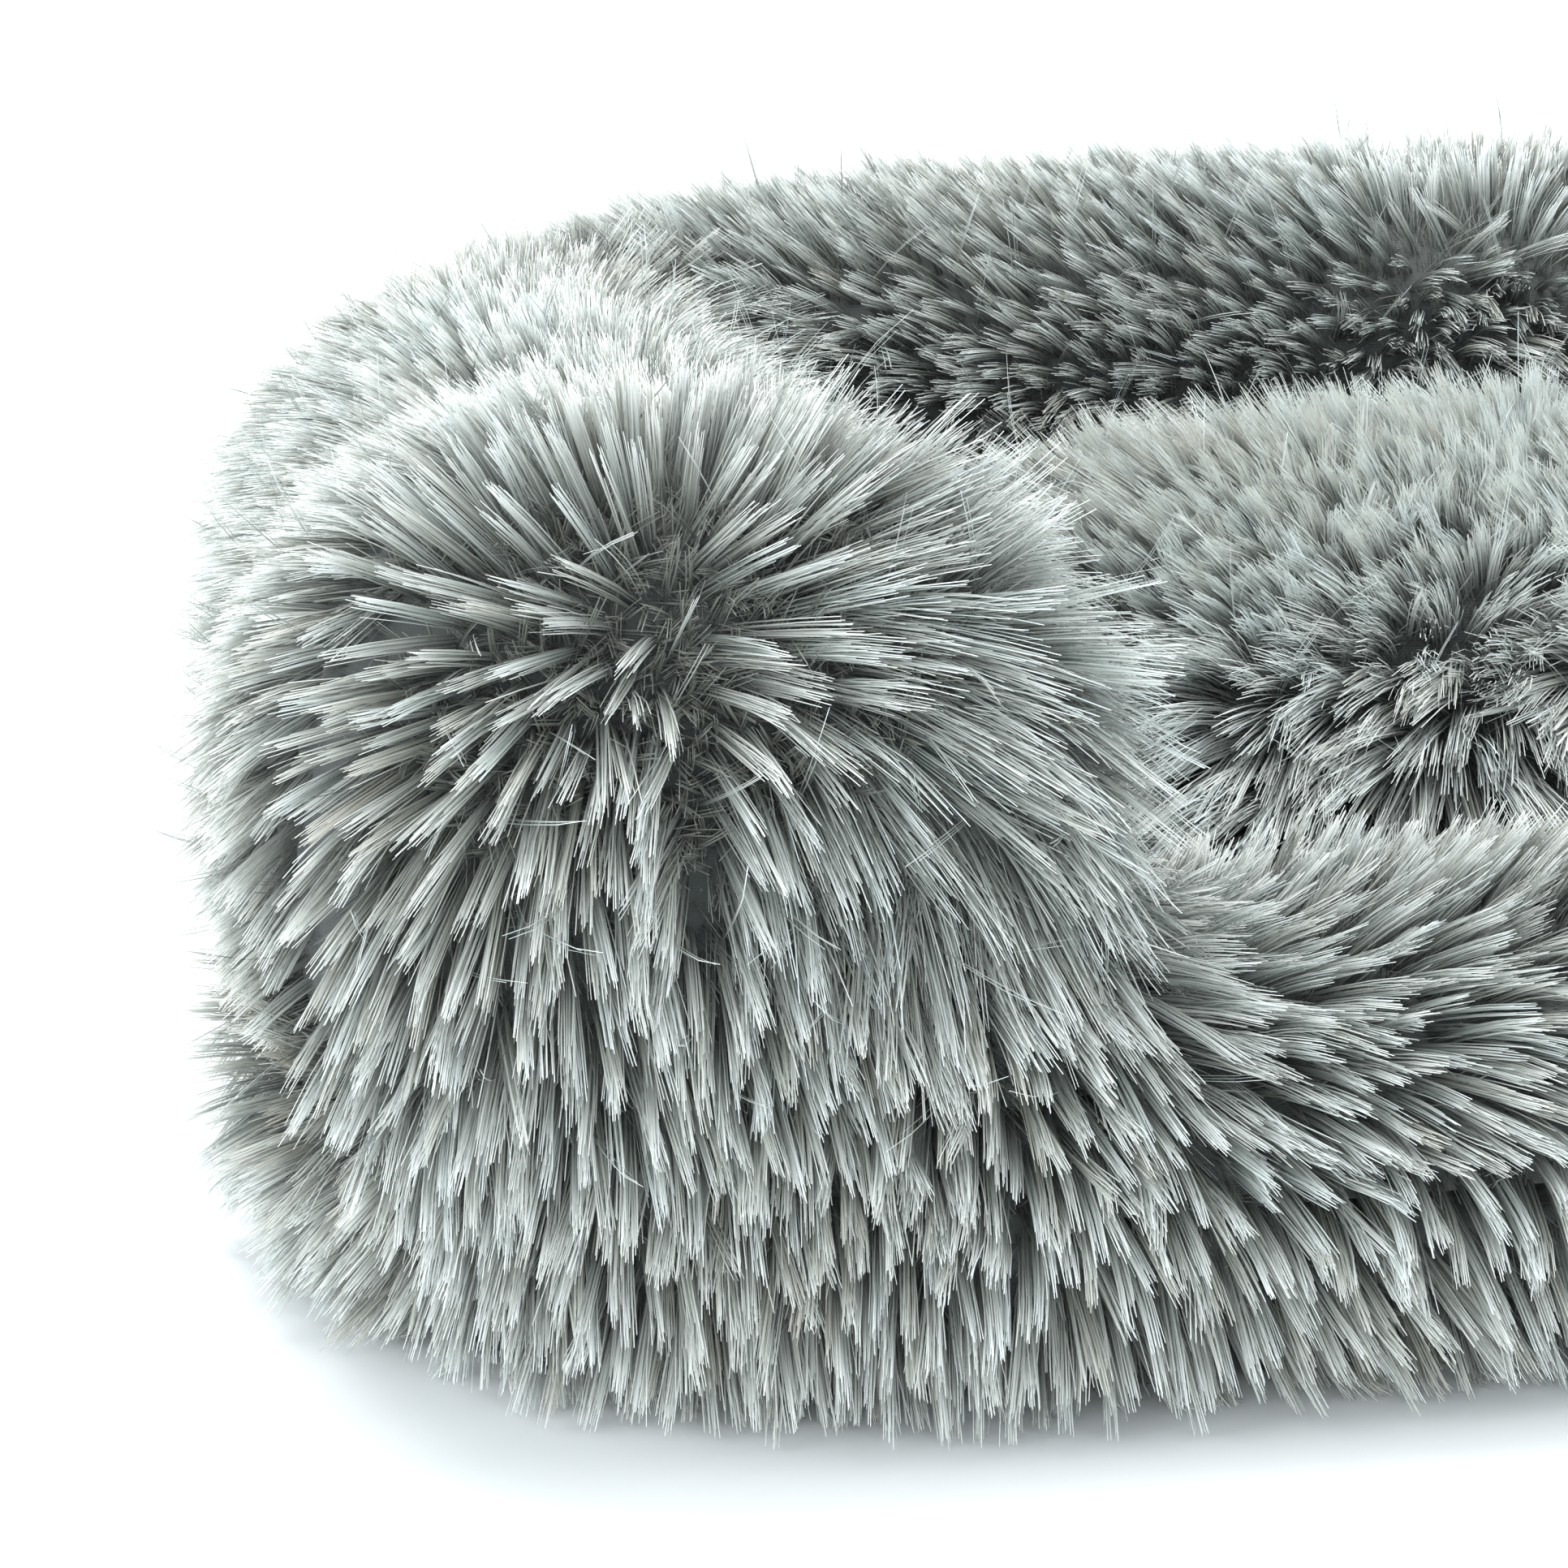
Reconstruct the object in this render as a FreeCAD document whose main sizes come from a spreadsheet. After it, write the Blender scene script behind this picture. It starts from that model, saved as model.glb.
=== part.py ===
import FreeCAD, Part
import os
import re

from FreeCAD import Placement, Rotation, Vector

# A rectangular plush pet bed: a low base tier, a bolster round three sides, a low front lip and a loose
# seat cushion. Millimetres, +Z up, front towards -Y, origin at the centre of the floor under the bed.
# Soft pieces are sized to the outside of their pile. A cover is as thick as its pile, and its stuffing
# fills it. Two concealed zips close the base and the seat cushion.

DIMENSIONS = {
    # whole bed
    "overall_width": 720,
    "overall_depth": 520,
    "pile_depth": 22,
    "backing_thickness": 2,
    # base tier
    "base_top": 60,
    "dot_height": 1.5,
    "dot_radius": 4,
    "dot_pitch": 80,
    "dot_columns": 7,
    "dot_rows": 5,
    "panel_inset": 44,
    "rear_corner_radius": 160,
    "front_corner_radius": 72,
    "base_top_radius": 16,
    "base_bottom_radius": 20,
    # bolsters
    "bolster_width": 185,
    "arm_front_height": 204,
    "back_height": 168,
    "bolster_top_radius": 58,
    "bolster_bottom_radius": 40,
    "arm_inner_corner_radius": 62,
    "arm_end_depth": 60,
    # front lip
    "lip_top": 95,
    "lip_depth": 110,
    "lip_radius": 20,
    "lip_fill_radius": 6,
    # seat cushion
    "cushion_top": 130,
    "cushion_gap": 1,
    "cushion_rest_gap": 0.3,
    "cushion_corner_radius": 40,
    "cushion_top_radius": 30,
    "cushion_bottom_radius": 12,
    "liner_thickness": 1,
    # zips, the same chain in both places
    "base_zip_half": 170,
    "base_zip_level": 30,
    "cushion_zip_half": 120,
    "cushion_zip_level": 79,
    "zip_slot_half": 8,
    "zip_slot_margin": 12,
    "zip_back_space": 3.2,
    "coil_gap": 0.6,
    "coil_width": 1.4,
    "coil_half_thickness": 1.2,
    "tape_half_thickness": 0.4,
    "stop_length": 3,
    # slider and pull tab
    "slider_half_length": 5.5,
    "slider_half_width": 4.2,
    "slider_plate_inner": 1.6,
    "slider_plate_outer": 2.8,
    "slider_flange_width": 1,
    "slider_flange_inner": 0.8,
    "slider_post_half_width": 0.3,
    "slider_post_half_length": 1.5,
    "slider_end_gap": 1,
    "slider_corner_radius": 1.5,
    "bridge_half_length": 3.2,
    "bridge_leg": 1.2,
    "bridge_half_width": 1,
    "bridge_inner": 5.4,
    "bridge_outer": 6.4,
    "pull_axis": 4.1,
    "pull_half_thickness": 0.7,
    "pull_half_width": 3.5,
    "pull_length": 14,
    "pull_window_end": 5.2,
    "pull_window_half_width": 1.5,
    "pull_corner_radius": 2,
    # care label under the bed
    "label_length": 45,
    "label_width": 25,
    "label_thickness": 0.5,
}

TOLERANCE = 1e-4

doc = FreeCAD.newDocument("PetBed")
sheet = doc.addObject("Spreadsheet::Sheet", "Sheet")
for row, (word, value) in enumerate(DIMENSIONS.items(), start=1):
    sheet.set(f"A{row}", word)
    sheet.set(f"B{row}", str(value))
    sheet.setAlias(f"B{row}", word)
doc.recompute()


def bind(item, target, text):
    """Binds a property to an expression in the sheet's words."""
    item.setExpression(target, re.sub(r"\b[a-z]+_[a-z_]+\b", lambda word: "Sheet." + word.group(), text))


def new_body(name):
    body = doc.addObject("PartDesign::Body", name)
    body.AllowCompound = True
    return body


def sized(box, x, y, z):
    """Binds a box's corner and sides so that it runs between three pairs of expressions."""
    for axis, size, (low, high) in (("x", "Length", x), ("y", "Width", y), ("z", "Height", z)):
        bind(box, f"Placement.Base.{axis}", low)
        bind(box, size, f"({high}) - ({low})")
    doc.recompute()
    return box


def block(body, name, x, y, z):
    return sized(body.newObject("PartDesign::AdditiveBox", name), x, y, z)


def hollow(body, name, x, y, z):
    return sized(body.newObject("PartDesign::SubtractiveBox", name), x, y, z)


def plain_box(name, x, y, z):
    return sized(doc.addObject("Part::Box", name), x, y, z)


def near(one, other):
    """True for two lengths that differ only by rounding."""
    return abs(one - other) < TOLERANCE


def is_upright(edge):
    box = edge.BoundBox
    return near(box.XLength, 0) and near(box.YLength, 0)


def round_edges(body, name, radius, wanted):
    """Rounds those edges of the body's last feature that wanted(edge, shape) picks."""
    before = body.Tip
    shape = before.Shape
    names = [f"Edge{number}" for number, edge in enumerate(shape.Edges, start=1) if wanted(edge, shape)]
    fillet = body.newObject("PartDesign::Fillet", name)
    fillet.Base = (before, names)
    bind(fillet, "Radius", radius)
    doc.recompute()


def cut(name, base, *tools):
    """The first shape less the others, one Part::Cut after another."""
    for number, tool in enumerate(tools, start=1):
        last = number == len(tools)
        piece = doc.addObject("Part::Cut", name if last else f"{name}_step_{number}")
        piece.Base = base
        piece.Tool = tool
        base = piece
    return base


def group(name, members):
    compound = doc.addObject("Part::Compound", name)
    compound.Links = members
    return compound


def corners_at(side_x, side_y):
    """Picks the upright edge at one corner: side_x is -1 left or 1 right, side_y -1 front or 1 rear."""

    def wanted(edge, shape):
        whole = shape.BoundBox
        corner_x = whole.XMin if side_x < 0 else whole.XMax
        corner_y = whole.YMin if side_y < 0 else whole.YMax
        return (
            is_upright(edge)
            and near(edge.BoundBox.XMin, corner_x)
            and near(edge.BoundBox.YMin, corner_y)
        )

    return wanted


def rear_corners(edge, shape):
    return is_upright(edge) and near(edge.BoundBox.YMin, shape.BoundBox.YMax)


def front_corners(edge, shape):
    return is_upright(edge) and near(edge.BoundBox.YMin, shape.BoundBox.YMin)


def every_corner(edge, shape):
    return is_upright(edge)


def is_diagonal(edge):
    """True for a straight edge left by a mitre cut."""
    box = edge.BoundBox
    straight = edge.Curve.TypeId == "Part::GeomLine"
    return straight and not near(box.XLength, 0) and not near(box.YLength, 0)


def edges_of_face(edge, face):
    return not is_diagonal(edge) and any(edge.isSame(side) for side in face.Edges)


def top_edges(edge, shape):
    return edges_of_face(edge, max(shape.Faces, key=lambda face: face.CenterOfMass.z))


def bottom_edges(edge, shape):
    return edges_of_face(edge, min(shape.Faces, key=lambda face: face.CenterOfMass.z))


# ---------------------------------------------------------------- base tier


def base_block(name, inset, low, high):
    """The base's rounded rectangle between two levels."""
    body = new_body(name)
    half_width = f"(overall_width / 2 - {inset})"
    half_depth = f"(overall_depth / 2 - {inset})"
    block(body, name + "_box", ("-" + half_width, half_width), ("-" + half_depth, half_depth), (low, high))
    round_edges(body, name + "_rear", f"rear_corner_radius - {inset}", rear_corners)
    round_edges(body, name + "_front", f"front_corner_radius - {inset}", front_corners)
    return body


def build_base():
    panel_top = "dot_height + backing_thickness"
    core = base_block("base_core", "pile_depth", panel_top, "base_top - backing_thickness")
    outer = base_block("base_outer", "0", panel_top, "base_top")
    round_edges(outer, "base_outer_top", "base_top_radius", top_edges)
    round_edges(outer, "base_outer_bottom", "base_bottom_radius", bottom_edges)
    slot = zip_slot("base", "overall_depth / 2 - pile_depth", "overall_depth / 2")
    cover = cut("base_cover", outer, core, slot)
    panel = base_block("bottom_panel", "panel_inset", "dot_height", panel_top)
    return [cover, core, panel, build_dots(), build_label()]


def build_dots():
    """Rubber dots in rows and columns under the bottom panel."""
    body = new_body("grip_dots")
    dot = body.newObject("PartDesign::AdditiveCylinder", "dot")
    bind(dot, "Radius", "dot_radius")
    bind(dot, "Height", "dot_height")
    bind(dot, "Placement.Base.x", "-dot_pitch * (dot_columns - 1) / 2")
    bind(dot, "Placement.Base.y", "-dot_pitch * (dot_rows - 1) / 2")
    grid = body.newObject("PartDesign::MultiTransform", "dot_grid")
    grid.Originals = [dot]
    steps = []
    for role, count in (("X_Axis", "dot_columns"), ("Y_Axis", "dot_rows")):
        line = body.newObject("PartDesign::LinearPattern", f"dots_along_{role[0].lower()}")
        line.Direction = (axis_of(body, role), [""])
        bind(line, "Length", f"dot_pitch * ({count} - 1)")
        bind(line, "Occurrences", count)
        steps.append(line)
    grid.Transformations = steps
    body.Tip = grid
    doc.recompute()
    return body


def axis_of(body, role):
    return next(item for item in body.Origin.OriginFeatures if item.Role == role)


def build_label():
    """A blank care label, sewn flat to the underside between the dots."""
    middle = "-1.5 * dot_pitch"
    return plain_box(
        "care_label",
        (f"{middle} - label_length / 2", f"{middle} + label_length / 2"),
        ("-label_width / 2", "label_width / 2"),
        ("dot_height - label_thickness", "dot_height"),
    )


# ---------------------------------------------------------------- bolsters


def mitre(body, name, corner_x, turn):
    """Cuts a bolster's end off along the diagonal through the inner rear corner at corner_x."""
    tool = body.newObject("PartDesign::SubtractiveBox", name)
    tool.Placement = Placement(Vector(), Rotation(Vector(0, 0, 1), turn))
    bind(tool, "Length", "2 * overall_width")
    bind(tool, "Width", "2 * overall_width")
    bind(tool, "Height", "2 * arm_front_height")
    bind(tool, "Placement.Base.x", f"{corner_x} + overall_width * sin({turn} deg)")
    bind(tool, "Placement.Base.y", f"overall_depth / 2 - bolster_width - overall_width * cos({turn} deg)")
    bind(tool, "Placement.Base.z", "-arm_front_height / 2")
    doc.recompute()


def round_long_edges(body, inset):
    name = body.Label
    round_edges(body, name + "_top", f"bolster_top_radius - {inset}", top_edges)
    round_edges(body, name + "_bottom", f"bolster_bottom_radius - {inset}", bottom_edges)


def arm_block(name, inset, low):
    """The left arm from its front end to the rear corner's diagonal, its top falling to the back's height."""
    body = new_body(name)
    wedge = body.newObject("PartDesign::AdditiveWedge", name + "_wedge")
    outer, inner = f"{inset} - overall_width / 2", f"bolster_width - overall_width / 2 - {inset}"
    sides = {
        "Xmin": outer, "X2min": outer, "Xmax": inner, "X2max": inner,
        "Ymin": f"{inset} - overall_depth / 2", "Ymax": f"overall_depth / 2 - {inset}",
        "Zmin": low, "Z2min": low, "Zmax": f"arm_front_height - {inset}", "Z2max": f"back_height - {inset}",
    }
    for side, place in sides.items():
        bind(wedge, side, place)
    doc.recompute()
    round_edges(body, name + "_rear", f"rear_corner_radius - {inset}", corners_at(-1, 1))
    round_edges(body, name + "_front", f"front_corner_radius - {inset}", corners_at(-1, -1))
    round_edges(body, name + "_inner", f"arm_inner_corner_radius - {inset}", corners_at(1, -1))
    mitre(body, name + "_mitre", "bolster_width - overall_width / 2", 45)
    round_long_edges(body, inset)
    return body


def back_block(name, inset, low):
    """The back bolster between the diagonals of the two rear corners."""
    body = new_body(name)
    half_width = f"(overall_width / 2 - {inset})"
    block(
        body,
        name + "_box",
        ("-" + half_width, half_width),
        (f"overall_depth / 2 - bolster_width + {inset}", f"overall_depth / 2 - {inset}"),
        (low, f"back_height - {inset}"),
    )
    round_edges(body, name + "_rear", f"rear_corner_radius - {inset}", rear_corners)
    mitre(body, name + "_left_mitre", "bolster_width - overall_width / 2", 225)
    mitre(body, name + "_right_mitre", "overall_width / 2 - bolster_width", 315)
    round_long_edges(body, inset)
    return body


def mirrored(name, source):
    """The right-hand copy of a left-hand piece."""
    copy = doc.addObject("Part::Mirroring", name)
    copy.Source = source
    copy.Normal = Vector(1, 0, 0)
    return copy


def build_arms():
    """The arm's shell is divided into the gathered end panel in front and the long cover behind it."""
    outer = arm_block("arm_outer", "0", "base_top")
    fill = arm_block("left_arm_fill", "pile_depth", "base_top + backing_thickness")
    shell = cut("arm_shell", outer, fill)
    front_slab = plain_box(
        "arm_front_slab",
        ("-overall_width", "overall_width"),
        ("-overall_depth", "arm_end_depth - overall_depth / 2"),
        ("0", "2 * arm_front_height"),
    )
    end_panel = doc.addObject("Part::Common", "left_arm_end_panel")
    end_panel.Base = shell
    end_panel.Tool = front_slab
    cover = cut("left_arm_cover", shell, front_slab)
    left = [cover, fill, end_panel]
    return left + [mirrored(piece.Label.replace("left", "right"), piece) for piece in left]


def build_back():
    outer = back_block("back_outer", "0", "base_top")
    fill = back_block("back_bolster_fill", "pile_depth", "base_top + backing_thickness")
    return [cut("back_bolster_cover", outer, fill), fill]


def lip_block(name, inset, low, radius):
    """The front lip between the arms, rounded along its top."""
    body = new_body(name)
    half_gap = "(overall_width / 2 - bolster_width)"
    block(
        body,
        name + "_box",
        ("-" + half_gap, half_gap),
        (f"{inset} - overall_depth / 2", f"lip_depth - overall_depth / 2 - {inset}"),
        (low, f"lip_top - {inset}"),
    )
    round_edges(body, name + "_top", radius, long_top_edges)
    return body


def long_top_edges(edge, shape):
    return top_edges(edge, shape) and near(edge.BoundBox.YLength, 0)


def build_lip():
    outer = lip_block("lip_outer", "0", "base_top", "lip_radius")
    fill = lip_block("front_lip_fill", "pile_depth", "base_top + backing_thickness", "lip_fill_radius")
    return [cut("front_lip_cover", outer, fill), fill]


# ---------------------------------------------------------------- seat cushion


CUSHION_REAR = "(overall_depth / 2 - bolster_width - cushion_gap)"


def cushion_block(name, inset, low):
    """The seat cushion's block, standing clear of the arms, lip and back by the cushion gap."""
    body = new_body(name)
    half_width = f"(overall_width / 2 - bolster_width - cushion_gap - {inset})"
    block(
        body,
        name + "_box",
        ("-" + half_width, half_width),
        (f"lip_depth - overall_depth / 2 + cushion_gap + {inset}", f"{CUSHION_REAR} - {inset}"),
        (low, f"cushion_top - {inset}"),
    )
    round_edges(body, name + "_corners", f"cushion_corner_radius - {inset}", every_corner)
    return body


def build_cushion():
    bottom = "base_top + cushion_rest_gap"
    outer = cushion_block("cushion_outer", "0", bottom)
    round_edges(outer, "cushion_outer_top", "cushion_top_radius", top_edges)
    round_edges(outer, "cushion_outer_bottom", "cushion_bottom_radius", bottom_edges)
    liner_outer = cushion_block("cushion_liner_outer", "pile_depth", f"{bottom} + backing_thickness")
    fill = cushion_block(
        "seat_cushion_fill",
        "(pile_depth + liner_thickness)",
        f"{bottom} + backing_thickness + liner_thickness",
    )
    slot = zip_slot("cushion", f"{CUSHION_REAR} - pile_depth", CUSHION_REAR)
    cover = cut("seat_cushion_cover", outer, liner_outer, slot)
    return [cover, cut("seat_cushion_liner", liner_outer, fill), fill]


# ---------------------------------------------------------------- zips


def zip_slot(place, low, high):
    """The bare strip through the pile that leaves room for the zip."""
    half_length = f"({place}_zip_half + zip_slot_margin)"
    return plain_box(
        place + "_zip_slot",
        ("-" + half_length, half_length),
        (low, high),
        (f"{place}_zip_level - zip_slot_half", f"{place}_zip_level + zip_slot_half"),
    )


def strip(name, level, plane, side, x, half_thickness, low, high):
    """A strip along a zip. low and high are distances above, or below, its centre line."""
    above = (f"{level} + {low}", f"{level} + {high}")
    below = (f"{level} - {high}", f"{level} - {low}")
    y = (f"{plane} - {half_thickness}", f"{plane} + {half_thickness}")
    return plain_box(name, x, y, above if side > 0 else below)


def build_zip(place, rear):
    """Tapes, coils, stops, slider and pull tab of one zip in the wall behind the pile at rear."""
    plane = f"({rear} - pile_depth + zip_back_space)"
    level = f"{place}_zip_level"
    half = f"{place}_zip_half"
    coil_outer = "(coil_gap + coil_width)"
    whole_slot = (f"-{half} - zip_slot_margin", f"{half} + zip_slot_margin")
    closed_end = (half, f"{half} + stop_length")
    open_end = (f"-{half} - stop_length", f"-{half}")
    tape = ("tape_half_thickness", coil_outer, "zip_slot_half")
    coil = ("coil_half_thickness", "coil_gap", coil_outer)
    tapes = []
    coils = []
    stops = [
        plain_box(
            f"{place}_open_end_stop",
            open_end,
            (f"{plane} - coil_half_thickness", f"{plane} + coil_half_thickness"),
            (f"{level} - {coil_outer}", f"{level} + {coil_outer}"),
        )
    ]
    for side, word in ((1, "upper"), (-1, "lower")):
        name = f"{place}_{word}"
        tapes.append(strip(name + "_tape", level, plane, side, whole_slot, *tape))
        coils.append(strip(name + "_coil", level, plane, side, (f"-{half}", half), *coil))
        stops.append(strip(name + "_stop", level, plane, side, closed_end, *coil))
    return [
        group(place + "_zip_tapes", tapes),
        group(place + "_zip_coils", coils),
        group(place + "_zip_stops", stops),
        placed_at_closed_end(build_slider(place + "_zip_slider"), place, plane),
        placed_at_closed_end(build_pull(place + "_zip_pull"), place, plane),
    ]


def placed_at_closed_end(body, place, plane):
    bind(body, "Placement.Base.x", f"{place}_zip_half - slider_half_length - slider_end_gap")
    bind(body, "Placement.Base.y", plane)
    bind(body, "Placement.Base.z", f"{place}_zip_level")
    doc.recompute()
    return body


def both_sides(half):
    return (f"-{half}", half)


def build_slider(name):
    """Two plates joined by a post between the coils, with side flanges and a bridge for the pull."""
    body = new_body(name)
    length = both_sides("slider_half_length")
    right_through = both_sides("(2 * slider_half_length)")
    coil_space = both_sides("slider_plate_inner")
    bridge_width = both_sides("bridge_half_width")
    block(body, name + "_plates", length, both_sides("slider_plate_outer"), both_sides("slider_half_width"))
    round_edges(body, name + "_corners", "slider_corner_radius", runs_through_y)
    channel_width = both_sides("(slider_half_width - slider_flange_width)")
    hollow(body, name + "_channel", right_through, coil_space, channel_width)
    tape_space = both_sides("slider_flange_inner")
    hollow(body, name + "_tape_slots", right_through, tape_space, both_sides("(2 * slider_half_width)"))
    post_length = both_sides("slider_post_half_length")
    block(body, name + "_post", post_length, coil_space, both_sides("slider_post_half_width"))
    legs = {
        "near": ("-bridge_half_length", "bridge_leg - bridge_half_length"),
        "far": ("bridge_half_length - bridge_leg", "bridge_half_length"),
    }
    for word, x in legs.items():
        block(body, f"{name}_{word}_leg", x, ("slider_plate_outer", "bridge_outer"), bridge_width)
    bridge_length = both_sides("bridge_half_length")
    block(body, name + "_bridge", bridge_length, ("bridge_inner", "bridge_outer"), bridge_width)
    return body


def runs_through_y(edge, shape):
    return near(edge.BoundBox.YLength, shape.BoundBox.YLength)


def far_end_corners(edge, shape):
    return runs_through_y(edge, shape) and near(edge.BoundBox.XMin, shape.BoundBox.XMax)


def build_pull(name):
    """A tab whose round end bar passes under the bridge, so that it turns about the bar."""
    body = new_body(name)
    thickness = ("pull_axis - pull_half_thickness", "pull_axis + pull_half_thickness")
    block(body, name + "_tab", ("0", "pull_length"), thickness, both_sides("pull_half_width"))
    round_edges(body, name + "_end", "pull_corner_radius", far_end_corners)
    hollow(
        body,
        name + "_window",
        ("pull_half_thickness", "pull_window_end"),
        ("0", "2 * pull_axis"),
        both_sides("pull_window_half_width"),
    )
    bar = body.newObject("PartDesign::AdditiveCylinder", name + "_bar")
    bind(bar, "Radius", "pull_half_thickness")
    bind(bar, "Height", "2 * pull_half_width")
    bind(bar, "Placement.Base.y", "pull_axis")
    bind(bar, "Placement.Base.z", "-pull_half_width")
    doc.recompute()
    return body


# ---------------------------------------------------------------- build and write


pieces = [
    *build_base(),
    *build_arms(),
    *build_back(),
    *build_lip(),
    *build_cushion(),
    *build_zip("base", "overall_depth / 2"),
    *build_zip("cushion", CUSHION_REAR),
]
doc.recompute()

for item in doc.Objects:
    if "Invalid" in item.State or "Error" in item.State:
        raise RuntimeError(f"{item.Label} did not build: {item.State}")
for piece in pieces:
    if piece.Shape.isNull() or not piece.Shape.isValid() or not piece.Shape.Solids:
        raise RuntimeError(f"{piece.Label} has no valid solid")

os.makedirs("parts", exist_ok=True)
for piece in pieces:
    piece.Shape.exportStep(f"parts/{piece.Label}.step")
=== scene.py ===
"""Looks of the pet cushion bed: stuffed cloth forms, combed locks of long pile, zips, underside cloth."""
import math
from itertools import product

import bpy
import numpy as np
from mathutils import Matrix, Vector


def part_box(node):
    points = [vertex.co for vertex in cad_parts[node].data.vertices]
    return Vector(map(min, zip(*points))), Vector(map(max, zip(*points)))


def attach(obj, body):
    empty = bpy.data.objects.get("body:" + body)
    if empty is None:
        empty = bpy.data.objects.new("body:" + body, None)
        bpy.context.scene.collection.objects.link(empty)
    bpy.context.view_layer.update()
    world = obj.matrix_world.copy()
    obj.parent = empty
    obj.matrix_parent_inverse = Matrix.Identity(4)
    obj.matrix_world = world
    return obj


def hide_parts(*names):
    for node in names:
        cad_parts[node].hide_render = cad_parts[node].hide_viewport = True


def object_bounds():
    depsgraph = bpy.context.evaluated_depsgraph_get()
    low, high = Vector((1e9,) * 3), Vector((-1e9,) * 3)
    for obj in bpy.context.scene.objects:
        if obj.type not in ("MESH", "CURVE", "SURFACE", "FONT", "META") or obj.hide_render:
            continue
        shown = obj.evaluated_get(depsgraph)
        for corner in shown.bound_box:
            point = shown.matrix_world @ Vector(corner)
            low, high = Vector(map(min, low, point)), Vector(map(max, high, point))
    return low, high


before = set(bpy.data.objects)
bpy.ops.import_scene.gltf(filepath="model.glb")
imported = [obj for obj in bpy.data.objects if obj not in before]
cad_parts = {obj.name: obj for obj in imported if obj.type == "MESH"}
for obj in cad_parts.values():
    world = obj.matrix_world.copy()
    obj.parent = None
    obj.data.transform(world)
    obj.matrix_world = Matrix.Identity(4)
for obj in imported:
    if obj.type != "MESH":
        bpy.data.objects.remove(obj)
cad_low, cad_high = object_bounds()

MM = 0.001
rng = np.random.default_rng(20309)


# ---------------------------------------------------------------- sizes, in millimetres, from the frame
def node_box(node):
    low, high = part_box(node)
    return np.array(low) / MM, np.array(high) / MM


BED_LOW, BED_HIGH = np.array(cad_low) / MM, np.array(cad_high) / MM
END_HIGH = node_box("left_arm_end_panel")[1]
BACK_LOW, BACK_HIGH = node_box("back_bolster_cover")
LIP_HIGH = node_box("front_lip_cover")[1]
BASE_HIGH = node_box("base_cover")[1]
SEAT_LOW, SEAT_HIGH = node_box("seat_cushion_cover")
BASE_TAPE_LOW = node_box("base_zip_tapes")[0]
SEAT_TAPE_LOW = node_box("cushion_zip_tapes")[0]

PILE = 18.0                                  # from the cloth to the outside of the pile
HALF_WIDTH = BED_HIGH[0] - PILE + 5.0
FRONT = BED_LOW[1] + PILE
REAR = BED_HIGH[1] - PILE
INNER_X = -END_HIGH[0] + PILE                # an arm's inner side
INNER_Y = BACK_LOW[1] + PILE                 # the back bolster's inner side
RIDGE_X = 0.5 * (HALF_WIDTH + INNER_X)
END_SEAM = END_HIGH[1]                       # where an arm's end panel is sewn on
BASE_TOP = BASE_HIGH[2]
ARM_TOP = END_HIGH[2] - PILE
BACK_TOP = BACK_HIGH[2] - PILE - 13.0
LIP_TOP = LIP_HIGH[2] - PILE - 4.0
WHORL = np.array([RIDGE_X + 4.0, FRONT + 6.0, ARM_TOP - 8.0])    # where the pile of an arm's end parts
BASE_ZIP_Z, SEAT_ZIP_Z = 30.0, 79.0          # the two zips' heights
SLOT_HALF_HEIGHT = 9.0                       # of the opening in the pile and cloth round a zip
PINNED_HALF_HEIGHT = 14.0                    # of the band round a zip that stuffing leaves alone


# ---------------------------------------------------------------- closed stuffed forms from distance fields
def smooth(low, high, value):
    share = np.clip((value - low) / (high - low), 0.0, 1.0)
    return share * share * (3.0 - 2.0 * share)


def corner_distance(a, b):
    return np.hypot(np.maximum(a, 0.0), np.maximum(b, 0.0)) + np.minimum(np.maximum(a, b), 0.0)


def plan(x, y, half_x, y_low, y_high, front_radius, rear_radius):
    """Distance to a rectangle seen from above, with its own corner radius in front and behind."""
    middle = 0.5 * (y_low + y_high)
    radius = np.where(y > middle, rear_radius, front_radius)
    half_y = 0.5 * (y_high - y_low)
    return corner_distance(np.abs(x) - half_x + radius, np.abs(y - middle) - half_y + radius) - radius


def raised(flat, z, low, high, low_radius, high_radius):
    """Distance to a plan shape given a height and rounded long edges."""
    radius = np.where(z > 0.5 * (low + high), high_radius, low_radius)
    return corner_distance(flat + radius, np.maximum(z - high, low - z) + radius) - radius


def merged(a, b, width):
    overlap = np.maximum(width - np.abs(a - b), 0.0) / width
    return np.minimum(a, b) - overlap * overlap * width * 0.25


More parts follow.
